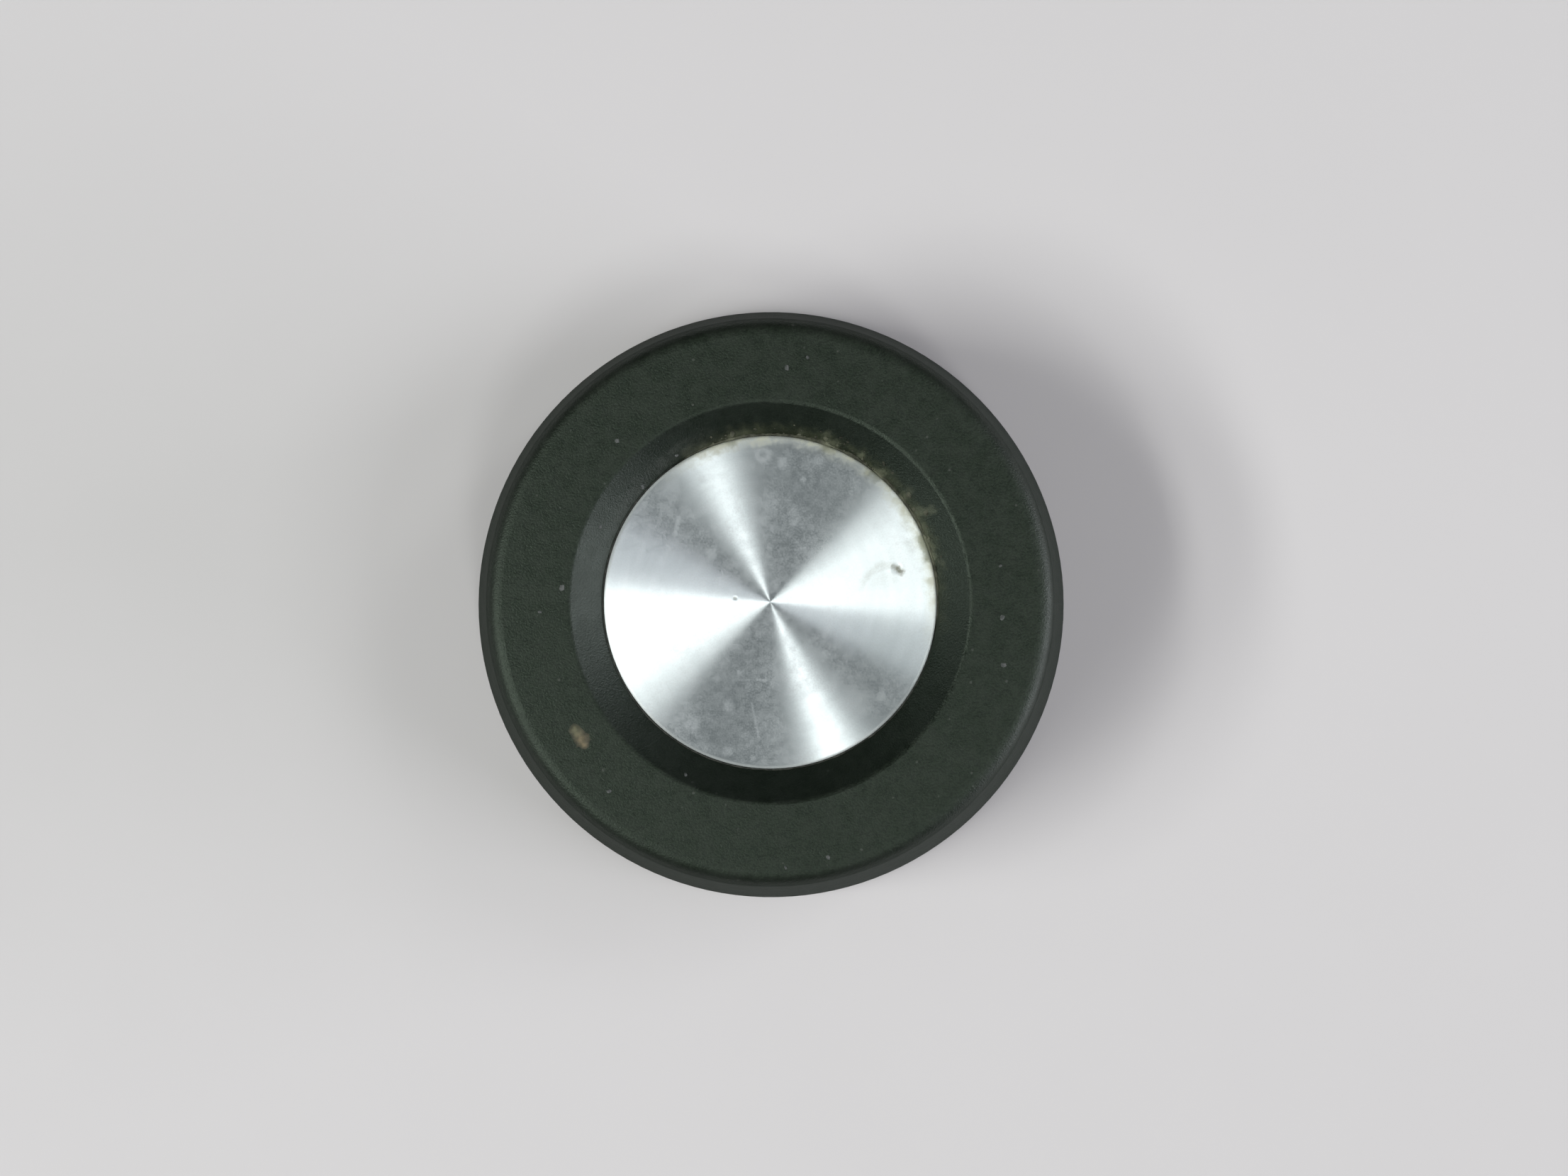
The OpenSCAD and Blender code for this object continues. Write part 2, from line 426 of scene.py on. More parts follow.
def make_band_group():
    """Ragged ring between two radii, strongest towards one heading."""
    inputs = [
        ("Place", ORIGIN),
        ("Inner", 13.0),
        ("Outer", 14.0),
        ("Heading", (1.0, 0.0, 0.0)),
        ("Spread", 0.2),
        ("Ragged", 0.5),
    ]
    tree, wiring, entry, leave = open_group("Band", inputs, ["Mask"])
    level = wiring.flat(entry["Place"])
    radius = wiring.vector("LENGTH", level)
    uneven = wiring.noise(entry["Place"], 1.6, detail=2.5, roughness=0.55)["Fac"]
    width = wiring.math("SUBTRACT", entry["Outer"], entry["Inner"])
    sway = wiring.product(width, entry["Ragged"])
    shift = wiring.product(wiring.math("SUBTRACT", uneven, 0.5), sway)
    depth = wiring.math("SUBTRACT", wiring.math("ADD", radius, shift), entry["Inner"])
    across = wiring.math("DIVIDE", depth, width)
    ring = wiring.product(wiring.ease(across, 0.0, 0.5), wiring.ease(across, 1.0, 0.5))
    facing = wiring.vector("DOT_PRODUCT", wiring.vector("NORMALIZE", level), entry["Heading"])
    toward = wiring.ease(facing, entry["Spread"], wiring.math("ADD", entry["Spread"], 0.55))
    wiring.feed(leave["Mask"], wiring.product(ring, toward))
    return tree


def make_streak_group():
    """Streaks that run round the axis and change across it."""
    inputs = [("Place", ORIGIN), ("Across", 0.0), ("Spacing", 0.1), ("Breaks", 2.0)]
    tree, wiring, entry, leave = open_group("Streaks", inputs, ["Height", "Tone"])
    around = wiring.split(wiring.vector("NORMALIZE", wiring.flat(entry["Place"])))
    where = wiring.joined(
        wiring.math("DIVIDE", entry["Across"], entry["Spacing"]),
        wiring.product(around["X"], entry["Breaks"]),
        wiring.product(around["Y"], entry["Breaks"]),
    )
    fine = wiring.noise(where, 1.0, detail=3.0, roughness=0.65)["Fac"]
    slow = wiring.noise(wiring.vector("MULTIPLY", where, (0.16, 1.0, 1.0)), 1.0, detail=2.0)["Fac"]
    wiring.feed(leave["Height"], fine)
    wiring.feed(leave["Tone"], wiring.ease(slow, 0.3, 0.7))
    return tree


EFFECTS = {
    "grain": make_grain_group,
    "dust": make_dust_group,
    "smear": make_smear_group,
    "band": make_band_group,
    "streaks": make_streak_group,
}


def effect(name):
    """The shared node group of that name, made the first time that it is asked for."""
    label = name.capitalize()
    return bpy.data.node_groups.get(label) or EFFECTS[name]()


def new_material(name):
    """New node material: the material, its wiring and its surface shader."""
    material = bpy.data.materials.new(name)
    material.use_nodes = True
    wiring = Wiring(material.node_tree)
    shader = material.node_tree.nodes["Principled BSDF"]
    return material, wiring, shader


def bump(wiring, height, strength, depth):
    """Normal from a height, with the depth in millimetres."""
    inputs = {"Height": height, "Strength": strength, "Distance": depth * MM}
    return wiring.put("ShaderNodeBump", inputs).outputs["Normal"]


def smear(wiring, place, start, end, radius, ragged):
    """Mask of one soft smear between two places."""
    ends = {"Start": (*start, 0.0), "End": (*end, 0.0)}
    return wiring.group("smear", Place=place, Radius=radius, Ragged=ragged, **ends)["Mask"]


def stroke_mask(wiring, place, strokes, ragged):
    """Mask of several smears, each with two ends, a half width and a strength."""
    masks = []
    for start, end, reach, strength in strokes:
        stroke = smear(wiring, place, start, end, reach, ragged)
        masks.append(wiring.product(stroke, strength))
    return wiring.largest(*masks)


def residue_mask(wiring, place, spread, ragged):
    """Mask of the dried dab on the face, with its lobes spread by a factor."""
    masks = []
    for (x, y), size in RESIDUE_LOBES:
        centre = (RESIDUE_PLACE[0] + x, RESIDUE_PLACE[1] + y)
        masks.append(smear(wiring, place, centre, centre, size * spread, ragged))
    return wiring.largest(*masks)


def crust_mask(wiring, place):
    """Mask of the tufts of crust beside the disc."""
    strokes = []
    for start, end, reach, strength in CRUST_TUFTS:
        ends = [turned(radius, heading).xy for heading, radius in (start, end)]
        strokes.append((*ends, reach, strength))
    return stroke_mask(wiring, place, strokes, ragged=0.6)


def band_mask(wiring, place, inner, outer, heading, spread, ragged):
    """Mask of a ragged ring that is strongest towards one heading."""
    way = tuple(turned(1.0, heading))
    radii = {"Inner": inner, "Outer": outer}
    return wiring.group("band", Place=place, Heading=way, Spread=spread, Ragged=ragged, **radii)["Mask"]


def plastic_material(finish, grime):
    """Moulded plastic with a fine grain, painted shade on its sloping faces, a coarser side, dust, and grime
    in the dish beside the disc.
    """
    material, wiring, shader = new_material("moulded_plastic")
    place = wiring.place()
    rise = wiring.split(wiring.put("ShaderNodeNewGeometry").outputs["Normal"])["Z"]
    upward = wiring.ease(rise, 0.6, 0.98)
    grain = wiring.group("grain", Place=place, Size=finish.grain_size / MM)
    cloud = wiring.group("grain", Place=place, Size=0.4)

    # Grain in the colour, and painted shade: sloping faces are painted darker than level ones
    fine = wiring.ease(grain["Height"], 0.38, 0.62, 0.0, 0.9)
    tone = wiring.math("ADD", wiring.product(grain["Tone"], 0.5), fine)
    # Painted shade on the dish's wall, the fillets and the side, by how far they slope
    tone = wiring.product(tone, wiring.ease(rise, 0.85, 0.985, 0.35, 1.0))
    colour = wiring.mix(tone, finish.dark_colour, finish.pale_colour)

    film = wiring.product(cloud["Tone"], upward, finish.dust_film)
    colour = wiring.mix(film, colour, finish.dust_colour)
    specks = wiring.group("dust", Place=place, Spacing=0.9, Size=0.13, Share=0.22)["Mask"]
    colour = wiring.mix(wiring.product(specks, upward, SPECK_SHARE), colour, finish.dust_colour)

    # Grime at the foot of the dish, crust over it, a veil of dust and the stain under the dab
    clots = wiring.ease(cloud["Tone"], 0.0, 1.0, 0.35, 1.0)
    smudge = wiring.product(band_mask(wiring, place, *FOOT_BAND), clots, finish.grime)
    colour = wiring.mix(smudge, colour, finish.grime_colour)
    lumps = wiring.ease(cloud["Tone"], 0.0, 1.0, 0.6, 1.0)
    tufts = wiring.product(crust_mask(wiring, place), lumps)
    colour = wiring.mix(tufts, colour, grime.crust_colour)
    veil = wiring.product(band_mask(wiring, place, *VEIL_BAND), clots, VEIL_SHARE)
    colour = wiring.mix(veil, colour, finish.dust_colour)
    stain = wiring.product(residue_mask(wiring, place, 2.0, 0.5), RESIDUE_STAIN_SHARE)
    colour = wiring.mix(stain, colour, grime.residue_dark)

    even = wiring.ease(cloud["Tone"], 0.0, 1.0, finish.roughness - 0.03, finish.roughness + 0.03)
    side = wiring.ease(rise, 0.75, 0.3, 0.0, finish.side_roughness - finish.roughness)
    surface = {
        "Base Color": colour,
        "Roughness": wiring.math("ADD", even, side),
        "Normal": bump(wiring, grain["Height"], 0.9, 0.055),
        "Specular IOR Level": 0.35,
        "Specular Tint": (0.80, 1.0, 0.83, 1.0),
    }
    wiring.fill(shader, surface)
    return material


def dull_spots(wiring, place, cloud):
    """Mask of the dull spots, streaks, ring and scratch on the disc, and of finer specks between them."""
    specks = wiring.group("dust", Place=place, Spacing=1.5, Size=0.42, Share=0.3)["Mask"]
    spot_strokes = [(centre, centre, reach * SPOT_SPREAD, strength) for centre, reach, strength in HAZE_SPOTS]
    centre, inner, outer, strength = HAZE_RING
    whole = smear(wiring, place, centre, centre, outer, 0.3)
    ring = wiring.math("SUBTRACT", whole, smear(wiring, place, centre, centre, inner, 0.3), clamp=True)
    spots = wiring.largest(
        wiring.product(specks, 0.4),
        stroke_mask(wiring, place, spot_strokes, ragged=0.55),
        stroke_mask(wiring, place, HAZE_STREAKS, ragged=0.45),
        wiring.product(ring, strength),
        stroke_mask(wiring, place, [SCRATCH], ragged=0.25),
    )
    return wiring.product(spots, wiring.ease(cloud["Height"], 0.25, 0.65, 0.55, 1.0))


def uneven_film(wiring, place, cloud):
    """Mask of a thin film on the disc: clouds, blots and frost, thicker in some patches."""
    patches = wiring.ease(wiring.noise(place, 0.2)["Fac"], 0.38, 0.62, 0.55, 1.0)
    frost = wiring.group("grain", Place=place, Size=0.15)["Height"]
    blots = wiring.noise(place, 2.1, detail=2.0, roughness=0.45)["Fac"]
    clouds = wiring.ease(cloud["Tone"], 0.1, 1.0, 0.0, 0.4)
    film = wiring.math("ADD", clouds, wiring.ease(blots, 0.4, 0.7, 0.0, 0.42))
    film = wiring.math("ADD", film, wiring.ease(frost, 0.38, 0.72, 0.0, 0.7))
    return wiring.product(film, patches)


def disc_material(finish, grime):
    """Spun aluminium: fine rings, haze, scuffs, a stained edge and crust over it."""
    material, wiring, shader = new_material("spun_aluminium")
    place = wiring.place()
    level = wiring.flat(place)
    radius = wiring.vector("LENGTH", level)
    spacing = finish.ring_spacing / MM
    rings = wiring.group("streaks", Place=place, Across=radius, Spacing=spacing, Breaks=2.4)
    broad = wiring.group("streaks", Place=place, Across=radius, Spacing=0.8, Breaks=0.8)
    cloud = wiring.group("grain", Place=place, Size=0.3)
    colour = wiring.mix(rings["Tone"], finish.dark_colour, finish.pale_colour)

    film = wiring.product(uneven_film(wiring, place, cloud), finish.mottle)
    spots = wiring.product(dull_spots(wiring, place, cloud), finish.haze)
    haze = wiring.math("ADD", spots, film, clamp=True)
    colour = wiring.mix(haze, colour, finish.haze_colour)

    worn = stroke_mask(wiring, place, (*SCUFF_STROKES, *DENT_STROKES), ragged=0.5)
    worn = wiring.product(worn, wiring.ease(cloud["Height"], 0.3, 0.6, 0.6, 1.0))
    colour = wiring.mix(worn, colour, finish.scuff_colour)

    margin_start, margin_end, margin_share = MARGIN
    margin = wiring.product(wiring.ease(radius, margin_start, margin_end), margin_share)
    colour = wiring.mix(margin, colour, finish.margin_colour)
    clots = wiring.ease(cloud["Tone"], 0.0, 1.0, 0.4, 0.9)
    stain = wiring.product(band_mask(wiring, place, *STAIN_BAND), clots)
    colour = wiring.mix(stain, colour, finish.stain_colour)
    crust = crust_mask(wiring, place)
    colour = wiring.mix(crust, colour, grime.crust_colour)

    # Dirt and wear take away the shine
    dulled = wiring.largest(wiring.product(haze, 0.75), worn, margin, stain, crust)
    even = wiring.ease(broad["Tone"], 0.0, 1.0, finish.roughness - 0.006, finish.roughness + 0.006)
    surface = {
        "Base Color": colour,
        "Metallic": wiring.math("SUBTRACT", 1.0, wiring.product(dulled, 0.9)),
        "Roughness": wiring.math("ADD", even, wiring.product(dulled, 0.22)),
        "Normal": bump(wiring, rings["Height"], 0.12, 0.003),
        "Anisotropic": 1.0,
        "Tangent": wiring.vector("NORMALIZE", level),
    }
    wiring.fill(shader, surface)
    return material


def steel_material(finish):
    """Rolled spring strip with streaks along it and a thin brown tarnish."""
    material, wiring, shader = new_material("spring_steel")
    place = wiring.place()
    across = wiring.split(place)["Z"]
    streaks = wiring.group("streaks", Place=place, Across=across, Spacing=0.09, Breaks=1.6)
    cloud = wiring.group("grain", Place=place, Size=0.5)
    colour = wiring.mix(streaks["Tone"], finish.dark_colour, finish.pale_colour)
    tarnish = wiring.product(cloud["Tone"], finish.tarnish)
    surface = {
        "Base Color": wiring.mix(tarnish, colour, finish.tarnish_colour),
        "Metallic": wiring.ease(tarnish, 0.0, 1.0, 1.0, 0.5),
        "Roughness": wiring.ease(cloud["Tone"], 0.0, 1.0, 0.3, 0.44),
        "Normal": bump(wiring, streaks["Height"], 0.3, 0.006),
    }
    wiring.fill(shader, surface)
    return material


def dirt_material(name, dark, pale, size, crust=None):
    """Dry dirt with an uneven colour and a crumbly surface, with the crust's colour in its tufts if given."""
    material, wiring, shader = new_material(name)
    place = wiring.place()
    grain = wiring.group("grain", Place=place, Size=size)
    colour = wiring.mix(grain["Tone"], dark, pale)
    if crust is not None:
        colour = wiring.mix(crust_mask(wiring, place), colour, crust)
    surface = {
        "Base Color": colour,
        "Roughness": wiring.ease(grain["Height"], 0.2, 0.8, 0.75, 0.95),
        "Normal": bump(wiring, grain["Height"], 0.6, 0.03),
    }
    wiring.fill(shader, surface)
    return material


def residue_material(grime):
    """Dried matter that goes from a greenish end to a tan one and thins out to a stain at its edge."""
    material, wiring, shader = new_material("dried_residue")
    place = wiring.place()
    grain = wiring.group("grain", Place=place, Size=0.22)
    offset = wiring.vector("SUBTRACT", place, (*RESIDUE_PLACE, 0.0))
    along = wiring.vector("DOT_PRODUCT", offset, tuple(turned(1.0, RESIDUE_HEADING)))
    body = wiring.mix(wiring.ease(along, -0.45, 0.35), grime.residue_green, grime.residue_pale)
    lumps = wiring.ease(grain["Tone"], 0.0, 1.0, 0.6, 1.0)
    thick = wiring.product(residue_mask(wiring, place, 1.45, 0.45), lumps)
    surface = {
        "Base Color": wiring.mix(thick, grime.residue_dark, body),
        "Roughness": wiring.ease(grain["Height"], 0.2, 0.8, 0.7, 0.9),
        "Normal": bump(wiring, grain["Height"], 0.5, 0.03),
    }
    wiring.fill(shader, surface)
    return material


def floor_material(colour):
    """Plain pale board."""
    material, wiring, shader = new_material("pale_board")
    cloud = wiring.group("grain", Place=wiring.place(), Size=6.0)
    surface = {
        "Base Color": wiring.mix(wiring.product(cloud["Tone"], 0.02), colour, (0.5, 0.5, 0.5)),
        "Roughness": wiring.ease(cloud["Tone"], 0.0, 1.0, 0.85, 0.95),
    }
    wiring.fill(shader, surface)
    return material


def new_piece(name, shape, material, sharp=40.0):
    """Object made from a bmesh, shaded smooth with its edges above an angle kept sharp."""
    mesh = bpy.data.meshes.new(name)
    bmesh.ops.recalc_face_normals(shape, faces=shape.faces)
    shape.to_mesh(mesh)
    shape.free()
    mesh.polygons.foreach_set("use_smooth", [True] * len(mesh.polygons))
    mesh.set_sharp_from_angle(angle=math.radians(sharp))
    mesh.materials.append(material)
    piece = bpy.data.objects.new(name, mesh)
    bpy.context.scene.collection.objects.link(piece)
    return piece


def dress(node, material):
    """Gives one of the knob's solids its finish."""
    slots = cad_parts[node].data.materials
    slots.clear()
    slots.append(material)


def sink(x, y):
    """How far the disc's surface lies below its plane at a place, in millimetres."""
    deep = 0.0
    for (centre_x, centre_y), reach, depth in (DENT, PIT):
        away = math.hypot(x - centre_x, y - centre_y) / reach
        deep += depth * math.exp(-MARK_FALL * away * away)
        deep -= LIP_SHARE * depth * math.exp(-LIP_FALL * (away - LIP_PLACE) ** 2)
    return deep


def lathe_rings(shape, rings, segments):
    """Joins rings into a closed skin with a point at each end; each ring gives its point at a segment."""
    rows = [[shape.verts.new(ring(step)) for step in range(segments)] for ring in rings[1:-1]]
    first = shape.verts.new(rings[0](0))
    last = shape.verts.new(rings[-1](0))
    for step in range(segments):
        after = (step + 1) % segments
        shape.faces.new((first, rows[0][step], rows[0][after]))
        shape.faces.new((last, rows[-1][after], rows[-1][step]))
        for upper, lower in zip(rows, rows[1:]):
            shape.faces.new((upper[step], lower[step], lower[after], upper[after]))


def disc_shape(ring_count, segments):
    """The spun disc: a flat top with its marks, a rounded edge and a plain underside."""
    flat_radius = DISC_RADIUS - DISC_EDGE_RADIUS
    step_angle = 360.0 / segments

    def top_ring(radius, drop=0.0):
        def point(step):
            spot = turned(radius, step * step_angle)
            spot.z = DISC_TOP - drop - sink(spot.x / MM, spot.y / MM) * MM
            return spot

        return point

    def low_ring(radius):
        def point(step):
            return turned(radius, step * step_angle) + UP * DISC_LOW.z

        return point

    rings = [top_ring(flat_radius * n / ring_count) for n in range(ring_count + 1)]
    for n in range(1, DISC_EDGE_STEPS + 1):
        angle = math.radians(90.0 * n / DISC_EDGE_STEPS)
        out = DISC_EDGE_RADIUS * math.sin(angle)
        drop = DISC_EDGE_RADIUS * (1.0 - math.cos(angle))
        rings.append(top_ring(flat_radius + out, drop))
    rings += [low_ring(DISC_RADIUS), low_ring(DISC_RADIUS * 0.5), low_ring(0.0)]
    shape = bmesh.new()
    lathe_rings(shape, rings, segments)
    return shape


def add_crumb(shape, place, up, across, height, draw):
    """Adds an irregular crumb that sits on a surface."""
    made = bmesh.ops.create_icosphere(shape, subdivisions=2, radius=1.0)["verts"]
    turn = up.to_track_quat("Z", "Y").to_matrix() @ Matrix.Rotation(draw.uniform(0.0, math.tau), 3, "Z")
    stretch = draw.uniform(0.6, 1.0)
    offset = Vector((draw.uniform(0.0, 50.0), draw.uniform(0.0, 50.0), draw.uniform(0.0, 50.0)))
    for vert in made:
        x, y, z = vert.co
        swell = 1.0 + 0.55 * noise.noise(vert.co * 1.6 + offset) + 0.2 * noise.noise(vert.co * 4.0 + offset)
        local = Vector((x * across * swell, y * across * stretch * swell, z * height * swell))
        local.z = max(local.z, -CRUMB_SUNK * height)
        vert.co = place + turn @ local


def wall_place(radius, heading):
    """Point on the dish's wall or on the face, and the direction that the surface faces there."""
    place = turned(radius, heading)
    place.z = dish_height(radius)
    slope = DISH_RISE if radius < DISH_RADIUS else 0.0
    return place, (UP - turned(slope, heading)).normalized()


def spot_place(x, y):
    """The same for a place given in millimetres across and along the knob."""
    return wall_place(math.hypot(x, y) * MM, math.degrees(math.atan2(y, x)))


def dirt_bead(shape, start, end, size):
    """Adds a thin uneven bead of dirt in the gap round the disc, from one heading to another."""

    def section(share):
        heading = start + (end - start) * share
        way = turned(1.0, heading)
        lump = noise.noise(way * 9.0) + 0.6 * noise.noise(way * 31.0)
        fade = smooth(0.0, 0.18, share) * smooth(1.0, 0.8, share)
        width = max(BEAD_LEAST, size * (1.0 + 0.85 * lump) * fade) * MM
        height = max(BEAD_LEAST, size * (1.3 + 0.55 * lump) * fade) * MM
        middle = turned(SEAT_RADIUS - BEAD_INSET * MM + 0.5 * width, heading)
        middle.z = SEAT_TOP - BEAD_SUNK * MM
        points = []
        for n in range(BEAD_SIDES):
            angle = math.tau * n / BEAD_SIDES
            rough = 1.0 + 0.3 * noise.noise(way * 60.0 + UP * (1.3 * n))
            out = way * (width * math.cos(angle) * rough)
            points.append(middle + out + UP * (height * math.sin(angle) * rough))
        return points

    sections = [section(n / BEAD_SEGMENTS) for n in range(BEAD_SEGMENTS + 1)]
    rows = [[shape.verts.new(point) for point in points] for points in sections]
    for before, after in zip(rows, rows[1:]):
        for n in range(BEAD_SIDES):
            k = (n + 1) % BEAD_SIDES
            shape.faces.new((before[n], after[n], after[k], before[k]))
    shape.faces.new(rows[0])
    shape.faces.new(reversed(rows[-1]))


def residue_shape():
    """Dab of dried matter with run-together lobes, lying on the face."""
    lobes = [(Vector((*centre, 0.0)), size) for centre, size in RESIDUE_LOBES]
    nearest, farthest = RESIDUE_REACH

    def heading(step):
        return 360.0 * step / RESIDUE_SEGMENTS

    def cover(spot):
        depth = 0.0
        for centre, size in lobes:
            depth += max(0.0, 1.0 - (spot - centre).length_squared / (1.55 * size * size))
        return depth + 0.3 * noise.noise(spot * 2.9) + 0.2 * noise.noise(spot * 7.5)

    def outline(step):
        way = turned(1.0, heading(step))
        reach = nearest
        while reach < farthest and cover(way * reach) > RESIDUE_COVER:
            reach += RESIDUE_STEP
        return reach

    reaches = [outline(step) for step in range(RESIDUE_SEGMENTS)]
    middle = Vector((RESIDUE_PLACE[0] * MM, RESIDUE_PLACE[1] * MM, FACE_HEIGHT))
    below = middle - UP * (RESIDUE_SUNK * MM)

    def top_ring(share):
        def point(step):
            spot = turned(reaches[step] * share, heading(step))
            rise = RESIDUE_HEIGHT * min(1.0, max(0.0, cover(spot))) * (1.0 - share**3)
            return middle + Vector((spot.x * MM, spot.y * MM, rise * MM))

        return point

    def low_ring(share):
        def point(step):
            return below + turned(reaches[step] * MM * share, heading(step))

        return point

    rings = [top_ring(n / RESIDUE_RINGS) for n in range(RESIDUE_RINGS + 1)]
    shape = bmesh.new()
    lathe_rings(shape, [*rings, low_ring(0.5), low_ring(0.0)], RESIDUE_SEGMENTS)
    return shape


def looking(back, top):
    """Rotation of a lamp or camera whose back and upper side face the given ways."""
    right = top.cross(back).normalized()
    return Matrix((right, back.cross(right), back)).transposed()


def add_lamp(name, heading, lean, sweep, rise, level, colour):
    """Soft rectangular lamp that faces the knob and adds that much light on a level face."""
    tilt = math.radians(lean)
    data = bpy.data.lights.new(name, "AREA")
    data.shape = "RECTANGLE"
    data.size = 2.0 * LAMP_DISTANCE * math.sin(tilt) * math.tan(math.radians(sweep))
    data.size_y = 2.0 * LAMP_DISTANCE * math.tan(math.radians(rise))
    data.color = colour
    data.energy = level * math.pi**2 * LAMP_DISTANCE**2 / math.cos(tilt)
    lamp = bpy.data.objects.new(name, data)
    target = UP * DISC_TOP
    lamp.location = target + turned(LAMP_DISTANCE * math.sin(tilt), heading)
    lamp.location.z += LAMP_DISTANCE * math.cos(tilt)
    back = (lamp.location - target).normalized()
    lamp.rotation_euler = looking(back, UP).to_euler()
    bpy.context.scene.collection.objects.link(lamp)


def make_world(stage):
    """Even sky that is dimmer near the floor."""
    world = bpy.data.worlds.new("studio")
    world.use_nodes = True
    wiring = Wiring(world.node_tree)
    sky = world.node_tree.nodes["Background"]
    height = wiring.split(wiring.put("ShaderNodeTexCoord").outputs["Generated"])["Z"]
    strength = wiring.ease(height, *SKY_HEIGHTS, stage.horizon, stage.overhead)
    wiring.fill(sky, {"Color": opaque(SKY_COLOUR), "Strength": strength})
    bpy.context.scene.world = world


def add_camera(stage):
    """Camera above the knob, with its upper side towards the knob's far side."""
    data = bpy.data.cameras.new("camera")
    data.lens = stage.camera_lens
    data.sensor_width = SENSOR_WIDTH
    data.clip_start, data.clip_end = CLIP_RANGE
    camera = bpy.data.objects.new("camera", data)
    back = (Vector(stage.camera_place) - Vector(stage.camera_target)).normalized()
    camera.matrix_world = Matrix.Translation(stage.camera_place) @ looking(back, NORTH).to_4x4()
    bpy.context.scene.collection.objects.link(camera)
    bpy.context.scene.camera = camera


def colour_property(name, description, default):
    return FloatVectorProperty(
        name=name, description=description, default=default, size=3, subtype="COLOR", min=0.0, max=1.0
    )


def share_property(name, description, default, low=0.0, high=1.0):
    return FloatProperty(
        name=name, description=description, default=default, min=low, max=high, subtype="FACTOR"
    )


def length_property(name, description, default, low):
    return FloatProperty(
        name=name, description=description, default=default, min=low, unit="LENGTH", precision=5
    )


def angle_property(name, description, degrees):
    return FloatProperty(
        name=name, description=description, default=math.radians(degrees), subtype="ANGLE"
    )


def place_property(name, description, default):
    return FloatVectorProperty(
        name=name, description=description, default=default, size=3, subtype="TRANSLATION", unit="LENGTH"
    )


def count_property(name, description, default, low, high):
    return IntProperty(name=name, description=description, default=default, min=low, max=high)


class KnobPlastic(bpy.types.PropertyGroup):
    """Finish of the body's plastic."""

    dark_colour: colour_property("Dark colour", "Darker tone of the plastic", (0.0005, 0.0016, 0.0005))
    pale_colour: colour_property("Pale colour", "Paler tone of the plastic", (0.0079, 0.0122, 0.0074))
    dust_colour: colour_property("Dust colour", "Colour of the dust on the plastic", (0.30, 0.31, 0.29))
    grime_colour: colour_property("Grime colour", "Colour of the grime in the dish", (0.060, 0.066, 0.034))
    grain_size: length_property("Grain size", "Size of the moulded grain", 0.16 * MM, 0.05 * MM)
    roughness: share_property("Roughness", "Roughness of the face and the dish", 0.45, 0.1, 0.9)
    side_roughness: share_property("Side roughness", "Roughness of the tapered side", 0.88, 0.1, 1.0)
    grime: share_property("Grime", "Share of grime at the foot of the dish", 0.4)
    dust_film: share_property("Dust film", "Share of dust on upward faces", 0.015, 0.0, 0.5)


class KnobDisc(bpy.types.PropertyGroup):
    """Shape and finish of the spun disc."""

    dark_colour: colour_property("Dark colour", "Darker tone of the metal", (0.74, 0.825, 0.835))
    pale_colour: colour_property("Pale colour", "Paler tone of the metal", (0.79, 0.875, 0.885))
    haze_colour: colour_property("Haze colour", "Colour of the dull spots", (0.46, 0.50, 0.51))
    scuff_colour: colour_property("Scuff colour", "Colour of the scuffed patch", (0.20, 0.21, 0.165))
    stain_colour: colour_property("Stain colour", "Colour of the stained edge", (0.44, 0.46, 0.36))
    margin_colour: colour_property("Margin colour", "Colour of the dull margin", (0.50, 0.54, 0.52))
    roughness: share_property("Roughness", "Roughness across the spun rings", 0.32, 0.1, 0.8)
    haze: share_property("Haze", "Strength of the dull spots", 0.46)
    mottle: share_property("Mottle", "Strength of the uneven film", 0.38)
    ring_spacing: length_property("Ring spacing", "Distance between the spun rings", 0.11 * MM, 0.02 * MM)
    ring_count: count_property("Rings", "Rings of faces in the disc's top", 140, 24, 200)
    segments: count_property("Segments", "Faces round the disc", 440, 48, 600)


class KnobRing(bpy.types.PropertyGroup):
    """Finish of the spring ring."""

    dark_colour: colour_property("Dark colour", "Darker tone of the steel", (0.34, 0.33, 0.32))
    pale_colour: colour_property("Pale colour", "Paler tone of the steel", (0.50, 0.49, 0.48))
    tarnish_colour: colour_property("Tarnish colour", "Colour of the tarnish", (0.16, 0.10, 0.06))
    tarnish: share_property("Tarnish", "Share of tarnish on the steel", 0.3)


class KnobGrime(bpy.types.PropertyGroup):
    """Grime round the disc, dust on the face and a dab of dried matter."""

    dark_colour: colour_property("Dark colour", "Darker tone of the grime", (0.014, 0.016, 0.008))
    pale_colour: colour_property("Pale colour", "Paler tone of the grime", (0.052, 0.057, 0.036))
    crust_colour: colour_property("Crust colour", "Colour of the tufts of crust", (0.155, 0.168, 0.112))
    gap_dark: colour_property("Gap shade", "Darker tone of the dirt in the gap", (0.010, 0.012, 0.009))
    gap_pale: colour_property("Gap colour", "Paler tone of the dirt in the gap", (0.040, 0.044, 0.036))
    dust_dark: colour_property("Dust shade", "Darker tone of the dust", (0.035, 0.042, 0.039))
    dust_pale: colour_property("Dust colour", "Paler tone of the dust", (0.09, 0.098, 0.094))
    residue_dark: colour_property("Residue shade", "Darker tone of the dab", (0.020, 0.024, 0.013))
    residue_green: colour_property("Residue end", "Greenish tone of the upper end", (0.105, 0.105, 0.060))
    residue_pale: colour_property("Residue colour", "Tan tone of the lower end", (0.140, 0.118, 0.068))
    bead_start: angle_property("Bead start", "Heading where the bead of grime starts", -14.0)
    bead_end: angle_property("Bead end", "Heading where the bead of grime ends", 128.0)
    crumbs: count_property("Crumbs", "Number of smaller crumbs beside the disc", 60, 0, 400)
    seed: IntProperty(name="Seed", description="Start of the random draws", default=7)


